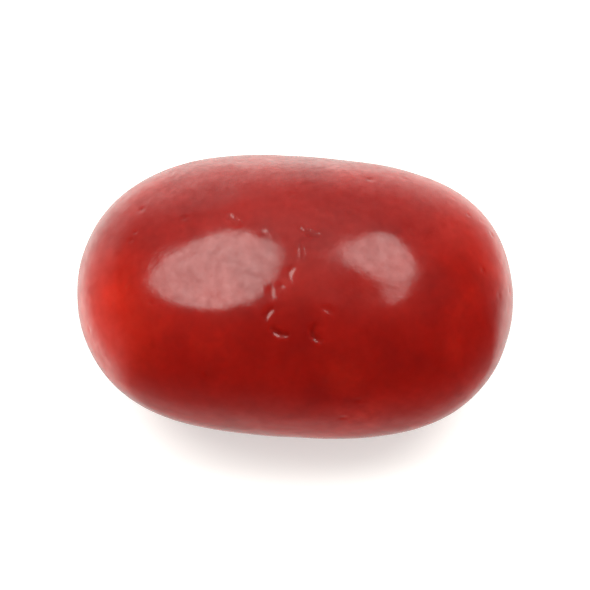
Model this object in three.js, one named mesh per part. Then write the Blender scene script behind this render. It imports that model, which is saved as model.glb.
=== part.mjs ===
// A jelly bean: one sugar-panned sweet, a starch-moulded jelly centre sealed in a thin polished shell.
// It lies on its side as it does on a table, long axis along X, with its fuller side at the front (-Y)
// and its flatter side at the back (+Y). The origin is at the middle of the small flat spot under it.
// Millimetres, +Z up.

import * as THREE from 'three';
import { mergeVertices } from 'three/addons/utils/BufferGeometryUtils.js';

// Driving dimensions
const LENGTH = 16.0; // tip to tip, along X
const WIDTH = 10.8; // front to back, along Y, before the bean is bowed
const HEIGHT = 9.4; // along Z, before the flat spot is taken off

// How the form departs from a plain ellipsoid
const PLAN_FULLNESS = 0.265; // how blunt both ends are, seen from above
const SIDE_FULLNESS = 0.05; // and seen from the front
const END_BIAS = 0.026; // how much fuller the right end is than the left
const BOW = 0.1; // how far the tips sit behind the middle
const LEAN = 0.28; // how far the right half sits to the front, and the left half to the back
const BEND = 0.15; // how far each tip bends back again
const FLAT_DEPTH = 0.28; // how much of the round underside is pressed into the flat spot

// Shallow dents in the shell, and swells where the depth is negative. Each is centred at a place along
// the bean and at a roll, in degrees, from the top towards the front.
const DENTS = [
  { name: 'left half, front', along: -2.5, roll: 18.5, length: 2.54, breadth: 1.0, depth: 0.092 },
  { name: 'right half, front', along: 2.6, roll: 22, length: 2.2, breadth: 1.0, depth: 0.099 },
  { name: 'left cheek', along: -6.0, roll: 20.5, length: 1.0, breadth: 2.4, depth: -0.1 },
  { name: 'left shoulder', along: -4.45, roll: -7.5, length: 3.45, breadth: 2.2, depth: 0.1 },
  { name: 'right shoulder', along: 5.2, roll: 18.5, length: 1.25, breadth: 1.44, depth: 0.067 },
  { name: 'right crown', along: 3.5, roll: -7.5, length: 1.65, breadth: 3.15, depth: -0.1 },
  { name: 'back hollow', along: 1.0, roll: -80, length: 4.0, breadth: 2.4, depth: 0.16 },
];

// Long, low waves left by the tumbling in the pan: the way each one runs and how often it repeats,
// both taken on the unit ball, and its height.
const WAVES = [
  { run: new THREE.Vector3(3.1, 1.7, -0.6), phase: 0.4, height: 0.05 },
  { run: new THREE.Vector3(-1.9, 3.6, 2.2), phase: 2.1, height: 0.04 },
  { run: new THREE.Vector3(4.6, -2.3, 3.9), phase: 4.4, height: 0.025 },
];

// The round of the surface is an evenly split ball: 20 faces, each edge in this many parts.
const EDGE_PARTS = 17;

const SHELL = { name: 'jelly_bean', color: 0x8f1613, roughness: 0.25, metalness: 0.05 };

const MEAN_RADIUS = (WIDTH + HEIGHT) / 4;
const DEGREE = Math.PI / 180;

// One dent's depth at a place along the bean and a roll from the top, both in its own units.
function dentDepth(dent, along, roll) {
  const turn = Math.atan2(Math.sin(roll - dent.roll * DEGREE), Math.cos(roll - dent.roll * DEGREE));
  const lengthwise = (along - dent.along) / dent.length;
  const around = (turn * MEAN_RADIUS) / dent.breadth;
  return dent.depth * Math.exp(-(lengthwise ** 2) - around ** 2);
}

// How far the surface stands out from, or sinks below, the plain form at one point of the unit ball.
function relief(ball) {
  const roll = Math.atan2(-ball.y, ball.z);
  const along = (LENGTH / 2) * ball.x;
  let height = 0;
  for (const wave of WAVES) {
    height += wave.height * Math.sin(wave.run.dot(ball) + wave.phase);
  }
  for (const dent of DENTS) {
    height -= dentDepth(dent, along, roll);
  }
  return height;
}

// A point of the unit ball carried out to the bean's surface, centred on the bean's middle.
function beanPoint(ball) {
  const shared = 1 + END_BIAS * ball.x ** 3 + relief(ball) / MEAN_RADIUS;
  const breadth = shared + PLAN_FULLNESS * ball.x ** 2;
  const depth = shared + SIDE_FULLNESS * ball.x ** 2;
  const sideways = BOW * ball.x ** 2 - LEAN * ball.x + BEND * ball.x ** 3;
  return new THREE.Vector3(
    (LENGTH / 2) * ball.x,
    (WIDTH / 2) * ball.y * breadth + sideways,
    (HEIGHT / 2) * ball.z * depth,
  );
}

function beanGeometry() {
  const faceted = new THREE.IcosahedronGeometry(1, EDGE_PARTS - 1);
  faceted.deleteAttribute('normal');
  faceted.deleteAttribute('uv');
  const geometry = mergeVertices(faceted, 1e-5);
  const position = geometry.getAttribute('position');
  const ball = new THREE.Vector3();
  for (let i = 0; i < position.count; i += 1) {
    ball.fromBufferAttribute(position, i).normalize();
    const point = beanPoint(ball);
    position.setXYZ(i, point.x, point.y, point.z);
  }
  geometry.computeBoundingBox();
  const box = geometry.boundingBox.clone();
  const middle = box.getCenter(new THREE.Vector3());
  for (let i = 0; i < position.count; i += 1) {
    const x = position.getX(i) - middle.x;
    const y = position.getY(i) - middle.y;
    const z = Math.max(0, position.getZ(i) - box.min.z - FLAT_DEPTH);
    position.setXYZ(i, x, y, z);
  }
  geometry.computeVertexNormals();
  return geometry;
}

function jellyBean() {
  const { name, ...look } = SHELL;
  const mesh = new THREE.Mesh(beanGeometry(), new THREE.MeshStandardMaterial(look));
  mesh.name = name;
  return mesh;
}

const group = new THREE.Group();
group.add(jellyBean());

export default group;
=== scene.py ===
"""A jelly bean on its side on a white table: a jelly centre sealed in a thin, polished sugar shell.

The solid gives the bean its form. Here the same form is made finer, and gets what the panning leaves on
a shell: a faint orange peel, pits, short wrinkles at the waist, and a mottled, translucent dark red,
with a painted glow where light passes through the jelly, strongest at the ends.
"""

import math
import random

import bmesh
import bpy
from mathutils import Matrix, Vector, kdtree, noise


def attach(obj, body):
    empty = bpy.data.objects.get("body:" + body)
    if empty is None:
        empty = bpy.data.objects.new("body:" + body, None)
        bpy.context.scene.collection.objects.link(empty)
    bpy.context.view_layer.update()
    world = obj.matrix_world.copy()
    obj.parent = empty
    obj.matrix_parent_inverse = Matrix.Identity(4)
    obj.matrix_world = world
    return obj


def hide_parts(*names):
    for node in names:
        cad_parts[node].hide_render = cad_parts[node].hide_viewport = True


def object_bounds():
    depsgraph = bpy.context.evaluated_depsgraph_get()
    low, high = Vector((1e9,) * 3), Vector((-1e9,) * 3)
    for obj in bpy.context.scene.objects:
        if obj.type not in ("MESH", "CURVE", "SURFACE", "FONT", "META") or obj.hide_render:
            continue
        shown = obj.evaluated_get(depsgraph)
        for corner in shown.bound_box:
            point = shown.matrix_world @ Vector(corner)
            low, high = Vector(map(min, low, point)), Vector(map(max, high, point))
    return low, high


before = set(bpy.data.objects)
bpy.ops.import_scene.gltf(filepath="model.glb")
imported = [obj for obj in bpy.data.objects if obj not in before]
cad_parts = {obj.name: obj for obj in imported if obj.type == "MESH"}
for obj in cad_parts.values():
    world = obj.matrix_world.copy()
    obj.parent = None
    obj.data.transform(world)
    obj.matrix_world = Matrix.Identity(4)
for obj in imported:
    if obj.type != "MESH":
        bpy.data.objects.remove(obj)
SOLID_LOW, SOLID_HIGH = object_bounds()

MM = 0.001

# ---------------------------------------------------------------------------
# The bean's form, in millimetres
# ---------------------------------------------------------------------------

LENGTH = 16.0  # tip to tip, along X
WIDTH = 10.8  # front to back, along Y, before the bean is bowed
HEIGHT = 9.4  # along Z, before the flat spot is taken off
MEAN_RADIUS = (WIDTH + HEIGHT) / 4

PLAN_FULLNESS = 0.265  # how blunt both ends are, seen from above
SIDE_FULLNESS = 0.05  # and seen from the front
END_BIAS = 0.026  # how much fuller the right end is than the left
BOW = 0.1  # how far the tips sit behind the middle
LEAN = 0.28  # how far the right half sits to the front, and the left half to the back
BEND = 0.15  # how far each tip bends back again
FLAT_DEPTH = 0.28  # how much of the round underside is pressed into the flat spot

# Shallow dents, and swells where the depth is negative: (along the bean, roll in degrees from the top
# towards the front, spread along, spread around, depth)
DENTS = (
    (-2.5, 18.5, 2.54, 1.0, 0.092),
    (2.6, 22, 2.2, 1.0, 0.099),
    (-6.0, 20.5, 1.0, 2.4, -0.1),
    (-4.45, -7.5, 3.45, 2.2, 0.1),
    (5.2, 18.5, 1.25, 1.44, 0.067),
    (3.5, -7.5, 1.65, 3.15, -0.1),
    (1.0, -80, 4.0, 2.4, 0.16),
)

# Long, low waves left by the tumbling in the pan: (way it runs on the unit ball, phase, height)
WAVES = (
    (Vector((3.1, 1.7, -0.6)), 0.4, 0.05),
    (Vector((-1.9, 3.6, 2.2)), 2.1, 0.04),
    (Vector((4.6, -2.3, 3.9)), 4.4, 0.025),
)

# ---------------------------------------------------------------------------
# The shell's own relief, in millimetres
# ---------------------------------------------------------------------------

PATCHES_A_SIDE = 127  # the round is a blown-up cube, each face this many patches a side

CLEAR_OF_TABLE = 0.4  # the relief fades out below this height, so that the flat spot stays flat

PEEL = ((0.75, 0.014), (1.9, 0.0025))  # orange peel: (bumps to the millimetre, height)

PIT_COUNT = 90
PIT_SEED = 11  # draws their places and sizes
PIT_RADIUS = (0.08, 0.18)
PIT_DEPTH = (0.008, 0.026)
PIT_LIP = 0.45  # how much of a faint rim each one has
PIT_STEEPNESS = 1.5

# Short creases where the waist has drawn in: (along the bean, roll, heading in degrees from straight
# around the bean, bend in degrees over its length, length, depth)
CREASES = (
    (-2.3, -9, 35, 8, 0.6, 0.052),
    (0.5, -1, 66, 25, 0.7, 0.05),
    (0.25, 8, 4, -25, 0.75, 0.017),
    (-0.25, 18.5, -10, 60, 0.6, 0.024),
    (-0.9, 27, 20, 30, 0.4, 0.026),
    (-1.0, 36, -27, 20, 0.5, 0.05),
    (-0.62, 44.5, 63, 50, 0.7, 0.094),
    (0.65, 45, 20, 70, 0.8, 0.11),
    (1.2, 34, 55, -20, 0.3, 0.028),
)
CREASE_WIDTH = 0.125
CREASE_LIP = 0.5  # how much of a faint rim each one has
CREASE_REACH = 3  # how many widths away its rim has died out
CREASE_STEPS = 9  # parts that its line is traced in
CREASE_TAPER = 0.5  # how late it thins out towards its ends: the lower, the later


def plain_view():
    """Show the colours as a camera with no tone curve does."""
    view = bpy.context.scene.view_settings
    view.view_transform = "Standard"
    view.look = "None"
    view.exposure = 0.0
    view.gamma = 1.0


# ---------------------------------------------------------------------------
# Shape
# ---------------------------------------------------------------------------


def dent_depth(dent, along, roll):
    """One dent's depth at a place along the bean and a roll from the top."""
    centre, centre_roll, length, breadth, depth = dent
    turn = roll - math.radians(centre_roll)
    turn = math.atan2(math.sin(turn), math.cos(turn))
    return depth * math.exp(-(((along - centre) / length) ** 2) - (turn * MEAN_RADIUS / breadth) ** 2)


def waves_and_dents(ball):
    """How far the surface stands out from the plain form at one point of the unit ball."""
    roll = math.atan2(-ball.y, ball.z)
    along = LENGTH / 2 * ball.x
    height = 0.0
    for run, phase, wave_height in WAVES:
        height += wave_height * math.sin(run.dot(ball) + phase)
    for dent in DENTS:
        height -= dent_depth(dent, along, roll)
    return height


def bean_point(ball):
    """A point of the unit ball carried out to the bean's surface."""
    bias = END_BIAS * ball.x**3
    height = waves_and_dents(ball) / MEAN_RADIUS
    breadth = 1 + PLAN_FULLNESS * ball.x**2 + bias + height
    depth = 1 + SIDE_FULLNESS * ball.x**2 + bias + height
    return Vector(
        (
            LENGTH / 2 * ball.x,
            WIDTH / 2 * ball.y * breadth + BOW * ball.x**2 - LEAN * ball.x + BEND * ball.x**3,
            HEIGHT / 2 * ball.z * depth,
        )
    )


def blow_up_to_ball(bm):
    """Carry a cube's vertices out to the unit ball, with its patches kept nearly even."""
    for vert in bm.verts:
        vert.co = Vector([math.tan(c * math.pi / 4) for c in vert.co]).normalized()


def press_flat(bm):
    """Centre the bean over the origin and press its lowest part onto the table."""
    lows = [min(v.co[axis] for v in bm.verts) for axis in range(3)]
    highs = [max(v.co[axis] for v in bm.verts) for axis in range(3)]
    for vert in bm.verts:
        vert.co.x -= (lows[0] + highs[0]) / 2
        vert.co.y -= (lows[1] + highs[1]) / 2
        vert.co.z = max(0.0, vert.co.z - lows[2] - FLAT_DEPTH)


def near(tree, bm, centre, reach):
    """The vertices within reach of a point, each with its distance."""
    for _, index, distance in tree.find_range(centre, reach):
        yield bm.verts[index], distance


def tree_of(bm):
    """The vertices, sorted so that near ones are quickly found."""
    tree = kdtree.KDTree(len(bm.verts))
    for vert in bm.verts:
        tree.insert(vert.co, vert.index)
    tree.balance()
    return tree


def smooth_step(value):
    """From 0 to 1, easing in and out, and held at both."""
    value = min(1.0, max(0.0, value))
    return value * value * (3 - 2 * value)


def add_orange_peel(heights, bm):
    """Low, soft bumps all over the shell."""
    for vert in bm.verts:
        for bumps, height in PEEL:
            heights[vert.index] += height * noise.noise(vert.co * bumps)


def add_pits(heights, bm, tree, draw):
    """Small round pits, each with a faint raised lip."""
    for _ in range(PIT_COUNT):
        centre = bm.verts[draw.randrange(len(bm.verts))].co
        radius = draw.uniform(*PIT_RADIUS)
        depth = draw.uniform(*PIT_DEPTH)
        for vert, distance in near(tree, bm, centre, 2 * radius):
            r = distance / radius
            heights[vert.index] -= depth * (1 - PIT_LIP * r * r) * math.exp(-r * r * PIT_STEEPNESS)


def on_surface(tree, along, roll):
    """The surface's own point at a place along the bean and a roll, and its two ways across it."""
    turn = math.radians(roll)
    outward = Vector((0, -math.sin(turn), math.cos(turn)))
    point = tree.find(Vector((along, 0, HEIGHT / 2)) + outward * MEAN_RADIUS)[0]
    lengthwise = Vector((1, 0, 0))
    return point, lengthwise, lengthwise.cross(outward)


def add_creases(heights, bm, tree):
    """Short, bent wrinkles that thin out towards their ends."""
    for along, roll, heading, bend, length, depth in CREASES:
        middle, lengthwise, around = on_surface(tree, along, roll)
        trace = {}
        for step in range(1, CREASE_STEPS):
            part = step / CREASE_STEPS - 0.5  # of its length, from its middle
            angle = math.radians(heading + bend * part)
            point = middle + (around * math.cos(angle) + lengthwise * math.sin(angle)) * length * part
            fade = math.cos(part * math.pi) ** CREASE_TAPER
            for vert, distance in near(tree, bm, point, CREASE_REACH * CREASE_WIDTH):
                r = distance / CREASE_WIDTH
                cut = fade * (1 - CREASE_LIP * r * r) * math.exp(-r * r)
                if abs(cut) > abs(trace.get(vert.index, 0.0)):
                    trace[vert.index] = cut
        for index, cut in trace.items():
            heights[index] -= depth * cut


def make_bean():
    """The whole bean as one closed mesh, in metres, at the solid's place."""
    bm = bmesh.new()
    bmesh.ops.create_cube(bm, size=2.0)
    bmesh.ops.subdivide_edges(bm, edges=bm.edges[:], cuts=PATCHES_A_SIDE - 1, use_grid_fill=True)
    blow_up_to_ball(bm)
    for vert in bm.verts:
        vert.co = bean_point(vert.co)
    press_flat(bm)

    bm.verts.ensure_lookup_table()
    bm.verts.index_update()
    bm.normal_update()
    draw = random.Random(PIT_SEED)
    tree = tree_of(bm)
    heights = [0.0] * len(bm.verts)
    add_orange_peel(heights, bm)
    add_pits(heights, bm, tree, draw)
    add_creases(heights, bm, tree)
    for vert in bm.verts:
        vert.co += vert.normal * (heights[vert.index] * smooth_step(vert.co.z / CLEAR_OF_TABLE))

    fit_to_solid(bm)
    for face in bm.faces:
        face.smooth = True
    mesh = bpy.data.meshes.new("bean_shell")
    bm.to_mesh(mesh)
    bm.free()
    bean = bpy.data.objects.new("bean_shell", mesh)
    bpy.context.scene.collection.objects.link(bean)
    return bean


def fit_to_solid(bm):
    """Bring the finished bean from millimetres into the solid's own box, to the last hundredth."""
    for axis in range(3):
        low = min(v.co[axis] for v in bm.verts)
        high = max(v.co[axis] for v in bm.verts)
        scale = (SOLID_HIGH[axis] - SOLID_LOW[axis]) / (high - low)
        for vert in bm.verts:
            vert.co[axis] = SOLID_LOW[axis] + (vert.co[axis] - low) * scale


# ---------------------------------------------------------------------------
# Materials
# ---------------------------------------------------------------------------


def from_screen(red, green, blue):
    """A colour as a screen shows it, 0 to 255, in the linear numbers that shaders read."""
    out = []
    for value in (red / 255, green / 255, blue / 255):
        out.append(value / 12.92 if value <= 0.04045 else ((value + 0.055) / 1.055) ** 2.4)
    return (*out, 1.0)


BURGUNDY = from_screen(117, 13, 10)
DEEP_RED = from_screen(125, 15, 10)
CHERRY = from_screen(131, 17, 12)
ORANGE_RED = from_screen(146, 24, 14)
# the colour of the painted glow: light passing through the jelly, painted into the shell
PAINTED_GLOW_RED = from_screen(226, 55, 36)

# Clouds of colour in the jelly: where in them the bean lies, how close together they are, and the place
# of each colour in them, from the darkest up
CLOUDS_AT = Vector((100.0, 0.0, 0.0))
CLOUDS = {"scale": 0.48, "detail": 3.0, "roughness": 0.5, "distortion": 0.4}
CLOUD_COLOURS = ((0.3, BURGUNDY), (0.46, DEEP_RED), (0.6, CHERRY), (0.8, ORANGE_RED))

# Painted glow: brighter orange-red painted into the shell's colour for light passing through the jelly,
# strongest at the ends, with smaller brighter patches on top: (place in millimetres, radius, strength)
PAINTED_GLOWS = (
    (Vector((-6.6, -1.5, 6.2)), 3.6, 0.375),
    (Vector((-6.55, -1.2, 6.95)), 1.0, 0.13),
    (Vector((6.6, 1.9, 6.2)), 4.4, 0.19),
    (Vector((-3.0, -2.2, 8.2)), 2.2, 0.06),
    (Vector((3.2, -1.6, 8.6)), 1.8, 0.1),
    (Vector((0.3, -1.5, 8.9)), 1.8, 0.06),
    (Vector((1.6, -4.3, 6.8)), 1.1, 0.12),
)

# Mottling in the shell: (spots to the millimetre, detail, roughness, the noise's low end and high end,
# and what each end becomes)
# this one breaks up the painted glow
PAINTED_GLOW_BREAKS = (0.8, 2.0, 0.5, 0.3, 0.7, 0.75, 1.0)
FLECKS = (4.5, 2.0, 0.5, 0.62, 0.74, 0.0, 1.0)
SHADES = (3.2, 3.0, 0.6, 0.28, 0.72, 0.91, 1.07)
POLISH = (0.9, 3.0, 0.5, 0.3, 0.7, 0.34, 0.46)
GLAZE = (3.2, 3.0, 0.7, 0.3, 0.7, 0.56, 1.0)
FLECK_STRENGTH = 0.12

# Fine grain under the polish, with finer dust on it: spots to the millimetre
GRAIN = {"scale": 5.5, "detail": 3.0, "roughness": 0.6}
DUST = {"scale": 14.0, "detail": 1.0}
DUST_SHARE = 0.25  # of the grain's height
GRAIN_HEIGHT = 0.003  # millimetres

SUGAR_IOR = 1.5
GLAZE_ROUGHNESS = 0.14
SHELL_SPECULAR = 0.05  # the shine comes from the glaze, hardly any from the shell under it
LIGHT_REACH = (1.0, 0.12, 0.08)  # how far red, green and blue light spreads in the jelly, for each unit
LIGHT_SPREAD = 1.2  # millimetres for each unit

FULL_WHITE = (1.0, 1.0, 1.0, 1.0)
TABLE_WHITE = (0.85, 0.85, 0.85, 1.0)
TABLE_SHADE = (0.82, 0.82, 0.82, 1.0)
TABLE_CLOUDS = {"scale": 0.05}
TABLE_ROUGHNESS = 0.9
TABLE_SPECULAR = 0.1
TABLE_GLOW = 0.38  # the table is lit from below as well as from above

# The Mix node's colour sockets, by number, because its float and vector sockets share their names
MIX_FACTOR, MIX_FIRST, MIX_SECOND, MIX_RESULT = 0, 6, 7, 2


class Graph:
    """Adds nodes to a node tree and wires them, left to right."""

    def __init__(self, tree):
        self.tree = tree
        self.tree.nodes.clear()

    def node(self, kind, inputs=None, **settings):
        """A node with its settings, and each input a value or another node's output."""
        node = self.tree.nodes.new(kind)
        for name, value in settings.items():
            setattr(node, name, value)
        for name, value in (inputs or {}).items():
            if isinstance(value, bpy.types.NodeSocket):
                self.tree.links.new(value, node.inputs[name])
            else:
                node.inputs[name].default_value = value
        return node

    def ramp(self, value, stops):
        """A colour ramp over (place, colour) stops."""
        node = self.node("ShaderNodeValToRGB", {"Fac": value})
        elements = node.color_ramp.elements
        while len(elements) > 1:
            elements.remove(elements[-1])
        elements[0].position, elements[0].color = stops[0]
        for place, colour in stops[1:]:
            element = elements.new(place)
            element.color = colour
        return node.outputs["Color"]

    def noise(self, where, scale, detail=2.0, roughness=0.5, distortion=0.0):
        """Soft noise from about 0.2 to 0.8."""
        inputs = {"Vector": where, "Scale": scale, "Detail": detail, "Roughness": roughness}
        inputs["Distortion"] = distortion
        return self.node("ShaderNodeTexNoise", inputs).outputs["Fac"]

    def math(self, operation, first, second=0.0, third=0.0):
        """One sum on one, two or three numbers."""
        numbers = {0: first, 1: second, 2: third}
        return self.node("ShaderNodeMath", numbers, operation=operation).outputs[0]

    def shift(self, vector, by):
        """A vector with another one added."""
        vectors = {0: vector, 1: by}
        return self.node("ShaderNodeVectorMath", vectors, operation="ADD").outputs["Vector"]

    def scale(self, vector, by):
        """A vector made longer or shorter."""
        inputs = {0: vector, "Scale": by}
        return self.node("ShaderNodeVectorMath", inputs, operation="SCALE").outputs["Vector"]

    def measure(self, operation, first, second):
        """A number worked out from two vectors."""
        vectors = {0: first, 1: second}
        return self.node("ShaderNodeVectorMath", vectors, operation=operation).outputs["Value"]

    def spread(self, value, low, high, to_low=0.0, to_high=1.0):
        """A value read between two limits as another range, held at its ends."""
        limits = {"Value": value, "From Min": low, "From Max": high, "To Min": to_low, "To Max": to_high}
        return self.node("ShaderNodeMapRange", limits, clamp=True).outputs["Result"]

    def blend(self, factor, first, second, blend_type="MIX"):
        """The second colour laid over the first."""
        inputs = {MIX_FACTOR: factor, MIX_FIRST: first, MIX_SECOND: second}
        node = self.node("ShaderNodeMix", inputs, data_type="RGBA", blend_type=blend_type)
        return node.outputs[MIX_RESULT]


def millimetres(graph):
    """Object coordinates in millimetres."""
    return graph.scale(graph.node("ShaderNodeTexCoord").outputs["Object"], 1 / MM)


def mottle(graph, where, kind):
    """Noise over the shell, read between two of its values as another range."""
    scale, detail, roughness, low, high, to_low, to_high = kind
    return graph.spread(graph.noise(where, scale, detail, roughness), low, high, to_low, to_high)


def painted_glow_mask(graph, where):
    """Painted glow: soft round patches of painted light from the jelly, brightest at the ends."""
    total = None
    for place, radius, strength in PAINTED_GLOWS:
        away = graph.measure("DISTANCE", where, place)
        patch = graph.node(
            "ShaderNodeMapRange",
            {"Value": away, "From Min": 0.0, "From Max": radius, "To Min": strength, "To Max": 0.0},
            interpolation_type="SMOOTHSTEP",
        ).outputs["Result"]
        total = patch if total is None else graph.math("ADD", total, patch)
    return total


def shell_material():
    """Dark red, translucent and mottled, with a painted glow of light through the jelly, under a
    polished glaze.
    """
    material = bpy.data.materials.new("bean_shell")
    material.use_nodes = True
    graph = Graph(material.node_tree)
    where = millimetres(graph)

    clouds = graph.noise(graph.shift(where, CLOUDS_AT), **CLOUDS)
    colour = graph.ramp(clouds, CLOUD_COLOURS)
    # painted glow: light passing through the jelly, painted into the colour and broken up
    painted_glow = graph.math("MULTIPLY", painted_glow_mask(graph, where), mottle(graph, where, PAINTED_GLOW_BREAKS))
    colour = graph.blend(painted_glow, colour, PAINTED_GLOW_RED)
    flecks = graph.math("MULTIPLY", mottle(graph, where, FLECKS), FLECK_STRENGTH)
    colour = graph.blend(flecks, colour, ORANGE_RED)
    shade = mottle(graph, where, SHADES)
    shade = graph.node("ShaderNodeCombineColor", {0: shade, 1: shade, 2: shade}).outputs[0]
    colour = graph.blend(1.0, colour, shade, "MULTIPLY")

    dust = graph.math("MULTIPLY", graph.noise(where, **DUST), DUST_SHARE)
    grain = graph.math("ADD", graph.noise(where, **GRAIN), dust)
    bump = {"Height": grain, "Strength": 1.0, "Distance": GRAIN_HEIGHT * MM}
    grained = graph.node("ShaderNodeBump", bump).outputs["Normal"]

    shader = graph.node(
        "ShaderNodeBsdfPrincipled",
        {
            "Base Color": colour,
            "Roughness": mottle(graph, where, POLISH),
            "IOR": SUGAR_IOR,
            "Specular IOR Level": SHELL_SPECULAR,
            "Subsurface Weight": 1.0,
            "Subsurface Radius": LIGHT_REACH,
            "Subsurface Scale": LIGHT_SPREAD * MM,
            "Coat Weight": mottle(graph, where, GLAZE),
            "Coat Roughness": GLAZE_ROUGHNESS,
            "Coat IOR": SUGAR_IOR,
            "Normal": grained,
            "Coat Normal": grained,
        },
    )
    graph.node("ShaderNodeOutputMaterial", {"Surface": shader.outputs["BSDF"]})
    return material


def table_material():
    """White, matt, and lit from below as well."""
    material = bpy.data.materials.new("white_table")
    material.use_nodes = True
    graph = Graph(material.node_tree)
    clouds = graph.noise(millimetres(graph), **TABLE_CLOUDS)
    shader = graph.node(
        "ShaderNodeBsdfPrincipled",
        {
            "Base Color": graph.blend(clouds, TABLE_WHITE, TABLE_SHADE),
            "Roughness": TABLE_ROUGHNESS,
            "Specular IOR Level": TABLE_SPECULAR,
            "Emission Color": FULL_WHITE,
            "Emission Strength": TABLE_GLOW,
        },
    )
    graph.node("ShaderNodeOutputMaterial", {"Surface": shader.outputs["BSDF"]})
    return material


# ---------------------------------------------------------------------------
# The studio
# ---------------------------------------------------------------------------

VIEW_ELEVATION = 62.0  # degrees above the table
LENS = 200.0
SENSOR = 36.0
SHARE_OF_FRAME = 0.74  # of the frame's width that the bean's length takes
NEAREST, FARTHEST = 0.001, 3.0  # metres from the camera that it sees

TABLE_RADIUS = 1.0
TABLE_SIDES = 96

LAMP_TINT = (1.0, 0.985, 0.93)  # the light is a little warm


def white(value):
    """The room's light at one brightness."""
    return (*(value * tint for tint in LAMP_TINT), 1.0)


def grey(value):
    """A plain mask value as a colour, for a ramp."""
    return (value, value, value, 1.0)


# How bright the room is in the shell's reflections. Overhead, by how nearly a direction points to the
# ceiling's middle, which is a little behind the bean:
OVERHEAD_AXIS = Vector((-0.1, 0.34, 0.935))
OVERHEAD = (
    (0.0, white(0.02)),
    (0.6, white(0.045)),
    (0.83, white(0.09)),
    (0.95, white(0.42)),
    (1.0, white(0.47)),
)
# The wall behind, by how far back a direction points, less a share of how far it points sideways:
WALL_NARROWS = 0.15
WALL = (
    (0.2, white(0.0)),
    (0.5, white(0.24)),
    (0.78, white(0.5)),
    (0.93, white(0.5)),
    (1.0, white(0.6)),
)
# A doorway in that wall, behind the bean on the left: the way to it, how nearly a direction must point
# there to meet its light, and how bright it is
DOORWAY_AT = Vector((-0.38, 0.885, 0.27))
DOORWAY_REACH = (0.94, 1.0)
DOORWAY_LIGHT = 0.68
# The table in front, at the sides and behind, from the horizon down to straight below:
TABLE_IN_FRONT = (
    (0.0, white(0.02)),
    (0.26, white(0.08)),
    (0.63, white(0.33)),
    (0.85, white(0.68)),
    (1.0, white(0.55)),
)
TABLE_BESIDE = (
    (0.0, white(0.2)),
    (0.1, white(0.36)),
    (0.3, white(0.7)),
    (0.4, white(1.15)),
    (0.5, white(1.65)),
    (0.6, white(2.0)),
    (0.66, white(1.95)),
    (0.72, white(1.65)),
    (0.85, white(1.25)),
    (1.0, white(0.6)),
)
TABLE_BEHIND = (
    (0.0, white(1.78)),
    (0.1, white(1.92)),
    (0.3, white(2.2)),
    (0.4, white(2.02)),
    (0.6, white(1.3)),
    (0.75, white(1.05)),
    (1.0, white(0.6)),
)
# How far the table counts as behind, by the way a direction points: 0 to the front, 0.5 to the sides,
# 1 to the back
TURN_TO_BACK = (
    (0.66, grey(0.0)),
    (0.72, grey(0.16)),
    (0.76, grey(0.38)),
    (0.79, grey(0.5)),
    (0.82, grey(0.6)),
    (0.87, grey(0.67)),
    (0.95, grey(1.0)),
)
# How much of the table's light still hangs over the horizon, by height, which counts for more at the
# sides:
HORIZON = (
    (0.0, grey(0.97)),
    (0.1, grey(0.91)),
    (0.2, grey(0.73)),
    (0.3, grey(0.32)),
    (0.45, grey(0.0)),
)
LEAST_ACROSS = 0.05  # straight up and straight down count as facing the side
FRONT_TO_SIDE = (-0.2, 0.0)  # where the table in front gives way to the table at the sides
FRONT_TURNED_RIGHT = 0.25  # the darker front reaches further round on the right
BACK_TURNED_LEFT = 0.15  # and the brighter back reaches further round on the left
LEFT_BRIGHTER = 0.2  # how much the table gains towards the left, and loses towards the right
ROOM_FILL = (0.69, 1.08)  # the soft light that the room gives, from the front and from the back

SOFTBOX_DISTANCE = 0.32
# Each one: (name, side, degrees that it stands to that side, degrees above the table from the front, the
# degrees that it takes up across and from front to back as the bean sees it, radiance)
SOFTBOXES = (
    ("left_softbox", -1, 26.5, 100.6, 33.6, 43.6, 5.8),
    ("right_softbox", 1, 24.5, 102.6, 36.1, 41.6, 5.3),
)


def make_table():
    """A round white table. The shell mirrors the room's own table instead, which is brighter behind."""
    bm = bmesh.new()
    bmesh.ops.create_circle(bm, cap_ends=True, segments=TABLE_SIDES, radius=TABLE_RADIUS)
    mesh = bpy.data.meshes.new("table")
    bm.to_mesh(mesh)
    bm.free()
    table = bpy.data.objects.new("table", mesh)
    bpy.context.scene.collection.objects.link(table)
    table.data.materials.append(table_material())
    table.visible_glossy = False
    return table


def aim(thing, target):
    """Turn a light or camera to look at a point."""
    thing.rotation_euler = (target - thing.location).to_track_quat("-Z", "Y").to_euler()


def softbox(name, side, lean, height, width, depth, radiance, target):
    """An oval softbox above the bean, facing it."""
    lean = math.radians(lean)
    rise = math.radians(height)
    forward = -math.cos(lean) * math.cos(rise)
    away = Vector((side * math.sin(lean), forward, math.cos(lean) * math.sin(rise)))
    light = bpy.data.lights.new(name, "AREA")
    light.shape = "ELLIPSE"
    light.color = LAMP_TINT
    light.size = 2 * SOFTBOX_DISTANCE * math.tan(math.radians(width / 2))
    light.size_y = 2 * SOFTBOX_DISTANCE * math.tan(math.radians(depth / 2))
    area = math.pi / 4 * light.size * light.size_y
    light.energy = radiance * math.pi * area
    lamp = bpy.data.objects.new(name, light)
    bpy.context.scene.collection.objects.link(lamp)
    lamp.location = target + away * SOFTBOX_DISTANCE
    back = (Vector((0, 1, 0)) - away * away.y).normalized()
    turned = lamp.matrix_world.to_3x3()
    turned.col[0], turned.col[1], turned.col[2] = back.cross(away), back, away
    lamp.rotation_euler = turned.to_euler()


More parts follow.
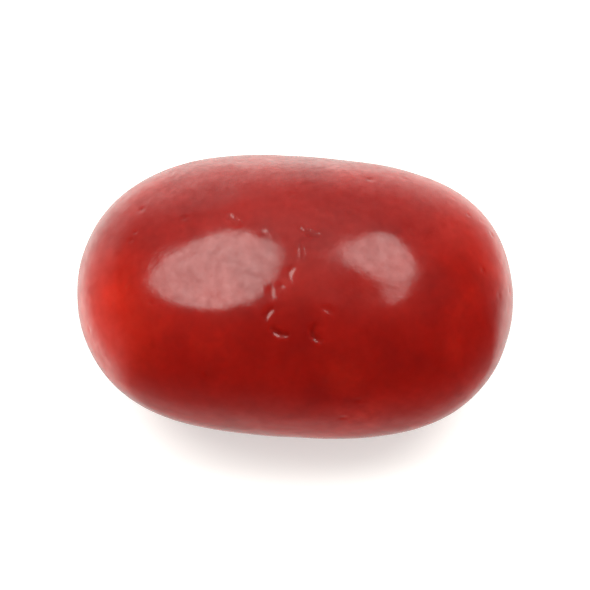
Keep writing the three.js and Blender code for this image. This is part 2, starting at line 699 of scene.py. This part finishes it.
def ceiling_and_wall(graph, way, x, y):
    """What the shell mirrors from above, apart from the doorway."""
    upward = graph.measure("DOT_PRODUCT", way, OVERHEAD_AXIS)
    to_wall = graph.math("MULTIPLY_ADD", graph.math("ABSOLUTE", x), -WALL_NARROWS, y)
    return graph.blend(1.0, graph.ramp(upward, OVERHEAD), graph.ramp(to_wall, WALL), "ADD")


def table_below(graph, x, y, z):
    """What it mirrors from below: dark in front, and brighter at the sides and behind."""
    down = graph.math("MULTIPLY", z, -1.0)
    across = graph.math("ADD", graph.math("ABSOLUTE", x), graph.math("ABSOLUTE", y))
    turn = graph.math("DIVIDE", y, graph.math("MAXIMUM", across, LEAST_ACROSS))
    to_side = graph.math("MULTIPLY_ADD", x, -FRONT_TURNED_RIGHT, turn)
    beside = graph.spread(to_side, *FRONT_TO_SIDE)
    to_back = graph.math("MULTIPLY_ADD", x, -BACK_TURNED_LEFT, turn)
    behind = graph.ramp(graph.spread(to_back, -1.0, 1.0), TURN_TO_BACK)
    table = graph.blend(beside, graph.ramp(down, TABLE_IN_FRONT), graph.ramp(down, TABLE_BESIDE))
    table = graph.blend(behind, table, graph.ramp(down, TABLE_BEHIND))
    return graph.scale(table, graph.math("MULTIPLY_ADD", x, -LEFT_BRIGHTER, 1.0))


def mirrored_room(graph, way, x, y, z):
    """The whole room as the shell mirrors it."""
    over_horizon = graph.math("MULTIPLY_ADD", z, graph.math("ABSOLUTE", x), z)
    low = graph.ramp(over_horizon, HORIZON)
    room = graph.blend(low, ceiling_and_wall(graph, way, x, y), table_below(graph, x, y, z))
    doorway = graph.spread(graph.measure("DOT_PRODUCT", way, DOORWAY_AT), *DOORWAY_REACH)
    return graph.blend(doorway, room, white(DOORWAY_LIGHT), "ADD")


def make_surround():
    """The room: a soft ceiling, a bright wall behind and a dark front, over a white table."""
    world = bpy.data.worlds.new("studio")
    bpy.context.scene.world = world
    world.use_nodes = True
    graph = Graph(world.node_tree)
    way = graph.node("ShaderNodeTexCoord").outputs["Generated"]
    x, y, z = graph.node("ShaderNodeSeparateXYZ", {"Vector": way}).outputs
    fill = graph.blend(graph.spread(y, -1.0, 1.0), white(ROOM_FILL[0]), white(ROOM_FILL[1]))
    path = graph.node("ShaderNodeLightPath").outputs
    light = graph.blend(path["Is Diffuse Ray"], mirrored_room(graph, way, x, y, z), fill)
    colour = graph.blend(path["Is Camera Ray"], light, FULL_WHITE)
    shader = graph.node("ShaderNodeBackground", {"Color": colour, "Strength": 1.0})
    graph.node("ShaderNodeOutputWorld", {"Surface": shader.outputs["Background"]})


def make_camera(target):
    """A long lens, looking down at the front of the bean."""
    camera = bpy.data.cameras.new("view")
    camera.lens = LENS
    camera.sensor_width = SENSOR
    camera.clip_start = NEAREST
    camera.clip_end = FARTHEST
    view = bpy.data.objects.new("view", camera)
    bpy.context.scene.collection.objects.link(view)
    rise = math.radians(VIEW_ELEVATION)
    distance = LENGTH * MM / SHARE_OF_FRAME * LENS / SENSOR
    view.location = target + Vector((0, -math.cos(rise), math.sin(rise))) * distance
    aim(view, target)
    bpy.context.scene.camera = view


# ---------------------------------------------------------------------------
# Everything together
# ---------------------------------------------------------------------------

plain_view()

bean = make_bean()
bean.data.materials.append(shell_material())
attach(bean, "root")
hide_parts("jelly_bean")

table = make_table()

middle = (SOLID_LOW + SOLID_HIGH) / 2
for settings in SOFTBOXES:
    softbox(*settings, middle)
make_surround()
make_camera(middle)
